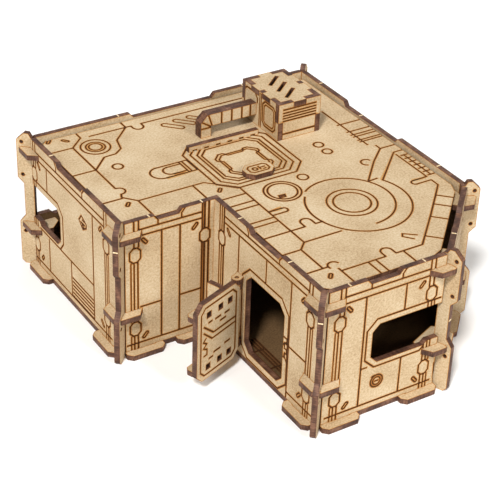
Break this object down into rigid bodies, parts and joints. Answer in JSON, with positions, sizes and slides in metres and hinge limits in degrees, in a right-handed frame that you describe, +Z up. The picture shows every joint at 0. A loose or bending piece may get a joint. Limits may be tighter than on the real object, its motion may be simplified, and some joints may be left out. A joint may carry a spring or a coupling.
{
  "type": "tabletop game building",
  "caption": "Flat-pack board building for tabletop games, with a lift-off roof, a hinged door, corner windows, a vent box and a pipe.",
  "frame": {"origin": "centre of the footprint, on the table", "axes": "+X right along the front wall, +Y to the back, +Z up"},
  "size_m": [0.188, 0.214, 0.0985],
  "materials": {
    "shell_board": "bare medium-density fibreboard with scorched laser-cut edges",
    "roof_board": "bare medium-density fibreboard with scorched laser-cut edges",
    "door_board": "bare medium-density fibreboard with scorched laser-cut edges",
    "hinge_pin": "thin hardwood dowel, darkened ends"
  },
  "bodies": {
    "shell": {"floor_plate": "shell_board", "wall_left": "shell_board", "wall_front_left": "shell_board", "wall_door": "shell_board", "wall_front": "shell_board", "wall_cut_corner": "shell_board", "wall_right": "shell_board", "wall_back": "shell_board", "fin_back_left": "shell_board", "fin_front_left": "shell_board", "fin_front_step": "shell_board", "fin_front_right": "shell_board", "fin_right": "shell_board", "fin_back_right": "shell_board", "collar_lower_back_left": "shell_board", "collar_upper_back_left": "shell_board", "collar_lower_front_left": "shell_board", "collar_upper_front_left": "shell_board", "collar_lower_front_step": "shell_board", "collar_upper_front_step": "shell_board", "collar_lower_front_right": "shell_board", "collar_upper_front_right": "shell_board", "collar_lower_right": "shell_board", "collar_upper_right": "shell_board", "collar_lower_back_right": "shell_board", "collar_upper_back_right": "shell_board", "hinge_lug_lower": "shell_board", "hinge_lug_upper": "shell_board", "hinge_pin_lower": "hinge_pin", "hinge_pin_upper": "hinge_pin"},
    "door": {"door_leaf": "door_board", "door_rib": "door_board", "door_strap_lower": "door_board", "door_strap_upper": "door_board"},
    "roof": {"roof_plate": "roof_board", "vent_front_plate": "roof_board", "vent_back_plate": "roof_board", "vent_left_plate": "roof_board", "vent_right_plate": "roof_board", "vent_lid_plate": "roof_board", "pipe_front_layer": "roof_board", "pipe_back_layer": "roof_board", "hatch_hinge_strip": "roof_board", "hatch_handle_plate": "roof_board"}
  },
  "joints": [
    {"name": "door_hinge", "type": "hinge", "parent": "shell", "child": "door", "pos_m": [-0.03745, -0.03035, 0.03], "axis": [0, 0, 1], "range_deg": [-40, 69]},
    {"name": "roof_lift", "type": "slide", "parent": "shell", "child": "roof", "axis": [0, 0, 1], "range_m": [0, 0.04]}
  ]
}
